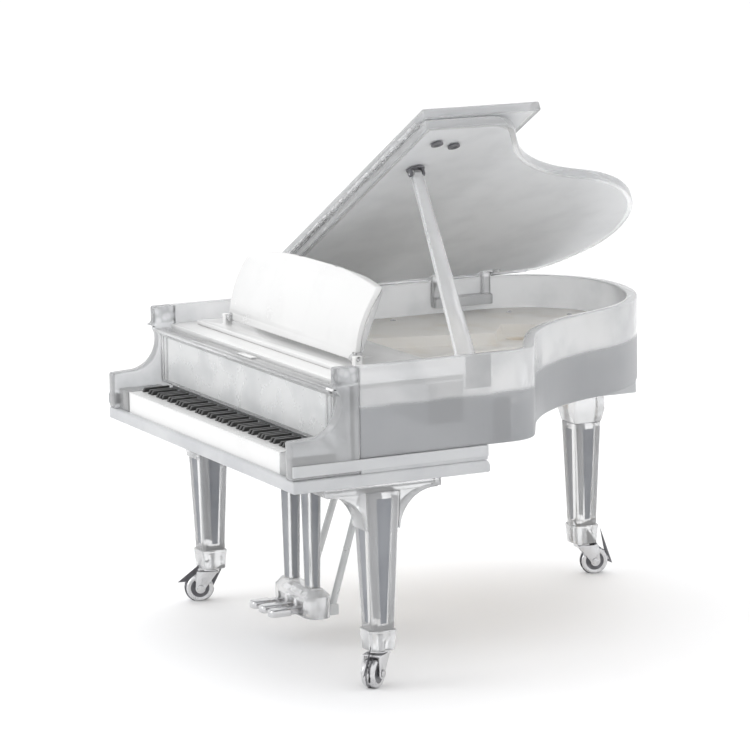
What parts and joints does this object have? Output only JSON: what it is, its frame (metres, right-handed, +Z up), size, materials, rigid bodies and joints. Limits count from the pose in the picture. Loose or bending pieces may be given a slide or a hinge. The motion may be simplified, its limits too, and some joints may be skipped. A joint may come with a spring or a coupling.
{
  "type": "miniature grand piano",
  "caption": "Small clear plastic grand piano on casters, with a propped folding lid, a folding music desk, a closing fallboard and sprung pedals.",
  "frame": {"origin": "centre of the bounding box at floor level, with the lid on its prop", "axes": "+Z up from the floor, -Y to the player's side, +X to the treble side"},
  "size_m": [0.0624, 0.0766, 0.0763],
  "materials": {
    "clear_shell": "clear, polished",
    "frosted_shell": "clear, frosted",
    "white_gloss": "gloss",
    "dark_key": "satin",
    "cream": "satin",
    "tan": "satin",
    "smoke": "gloss",
    "silver": "silver paint"
  },
  "bodies": {
    "case": {"rim": "clear_shell", "arm_left": "clear_shell", "arm_right": "clear_shell", "prop_rest": "clear_shell", "hinge_brackets": "clear_shell", "hinge_pins": "clear_shell", "key_blocks": "clear_shell", "leg_front_left": "clear_shell", "leg_front_right": "clear_shell", "leg_rear": "clear_shell", "leg_bracket_front_left": "clear_shell", "leg_bracket_front_right": "clear_shell", "leg_bracket_rear": "clear_shell", "lyre_head": "clear_shell", "lyre_columns": "clear_shell", "pedal_box": "clear_shell", "lyre_braces": "clear_shell", "pedal_pin": "clear_shell", "inner_rim": "frosted_shell", "keybed": "frosted_shell", "side_ledges": "frosted_shell", "key_strip": "frosted_shell", "nameboard": "frosted_shell", "pin_block": "frosted_shell", "belly_rail": "frosted_shell", "case_beams": "frosted_shell", "white_keys": "white_gloss", "front_deck": "white_gloss", "desk_tray": "white_gloss", "black_keys": "dark_key", "iron_plate": "cream", "soundboard": "tan"},
    "lid": {"lid_panel": "clear_shell", "lid_knuckles": "clear_shell", "fold_pin": "clear_shell", "prop_cups": "smoke", "prop_hanger": "smoke", "prop_pin": "clear_shell"},
    "lid_flap": {"lid_flap": "clear_shell", "flap_knuckles": "clear_shell"},
    "lid_prop": {"prop_stick": "clear_shell"},
    "fallboard": {"fallboard_panel": "clear_shell", "fallboard_lip": "clear_shell", "fallboard_pins": "clear_shell", "lock_plate": "white_gloss"},
    "music_desk": {"desk_panel": "white_gloss", "desk_ribs": "clear_shell", "desk_pins": "clear_shell"},
    "pedal_left": {"pedal_left": "silver"},
    "pedal_middle": {"pedal_middle": "silver"},
    "pedal_right": {"pedal_right": "silver"},
    "caster_front_left": {"caster_fork_front_left": "silver", "caster_axle_front_left": "silver"},
    "wheel_front_left": {"caster_wheel_front_left": "silver"},
    "caster_front_right": {"caster_fork_front_right": "silver", "caster_axle_front_right": "silver"},
    "wheel_front_right": {"caster_wheel_front_right": "silver"},
    "caster_rear": {"caster_fork_rear": "silver", "caster_axle_rear": "silver"},
    "wheel_rear": {"caster_wheel_rear": "silver"}
  },
  "joints": [
    {"name": "lid_hinge", "type": "hinge", "parent": "case", "child": "lid", "pos_m": [-0.0289, 0.00493, 0.04495], "axis": [0, -1, 0], "range_deg": [-28.8, 0]},
    {"name": "prop_fold", "type": "hinge", "parent": "lid", "child": "lid_prop", "pos_m": [0.0128, -0.01017, 0.06625], "axis": [0, -1, 0], "range_deg": [-91.68, 0]},
    {"name": "flap_fold", "type": "hinge", "parent": "lid", "child": "lid_flap", "pos_m": [-0.00301, -0.01502, 0.06012], "axis": [-0.8763, 0, -0.4818], "range_deg": [-180, 0]},
    {"name": "desk_fold", "type": "hinge", "parent": "case", "child": "music_desk", "pos_m": [0, -0.02367, 0.04305], "axis": [1, 0, 0], "range_deg": [-67, 0]},
    {"name": "fallboard_hinge", "type": "hinge", "parent": "case", "child": "fallboard", "pos_m": [0, -0.03022, 0.0341], "axis": [-1, 0, 0], "range_deg": [-90, 0]},
    {"name": "pedal_left_press", "type": "hinge", "parent": "case", "child": "pedal_left", "pos_m": [-0.003, -0.02367, 0.00495], "axis": [-1, 0, 0], "range_deg": [-6, 0], "stiffness_Nm_per_rad": 0.001},
    {"name": "pedal_middle_press", "type": "hinge", "parent": "case", "child": "pedal_middle", "pos_m": [0, -0.02367, 0.00495], "axis": [-1, 0, 0], "range_deg": [-6, 0], "stiffness_Nm_per_rad": 0.001},
    {"name": "pedal_right_press", "type": "hinge", "parent": "case", "child": "pedal_right", "pos_m": [0.003, -0.02367, 0.00495], "axis": [-1, 0, 0], "range_deg": [-6, 0], "stiffness_Nm_per_rad": 0.001},
    {"name": "caster_front_left_swivel", "type": "hinge", "parent": "case", "child": "caster_front_left", "pos_m": [-0.0274, -0.02437, 0.0045], "axis": [0, 0, 1], "continuous": true},
    {"name": "wheel_front_left_roll", "type": "hinge", "parent": "caster_front_left", "child": "wheel_front_left", "pos_m": [-0.02787, -0.02611, 0.002], "axis": [0.9659, -0.2588, 0], "continuous": true},
    {"name": "caster_front_right_swivel", "type": "hinge", "parent": "case", "child": "caster_front_right", "pos_m": [0.0274, -0.02437, 0.0045], "axis": [0, 0, 1], "continuous": true},
    {"name": "wheel_front_right_roll", "type": "hinge", "parent": "caster_front_right", "child": "wheel_front_right", "pos_m": [0.02856, -0.02575, 0.002], "axis": [0.766, 0.6428, 0], "continuous": true},
    {"name": "caster_rear_swivel", "type": "hinge", "parent": "case", "child": "caster_rear", "pos_m": [-0.0142, 0.03103, 0.0045], "axis": [0, 0, 1], "continuous": true},
    {"name": "wheel_rear_roll", "type": "hinge", "parent": "caster_rear", "child": "wheel_rear", "pos_m": [-0.01373, 0.03277, 0.002], "axis": [-0.9659, 0.2588, 0], "continuous": true}
  ],
  "couplings": [
    {"joint": "prop_fold", "follows": "lid_hinge", "ratio": 3.183},
    {"joint": "desk_fold", "follows": "flap_fold", "ratio": 0.3722}
  ]
}
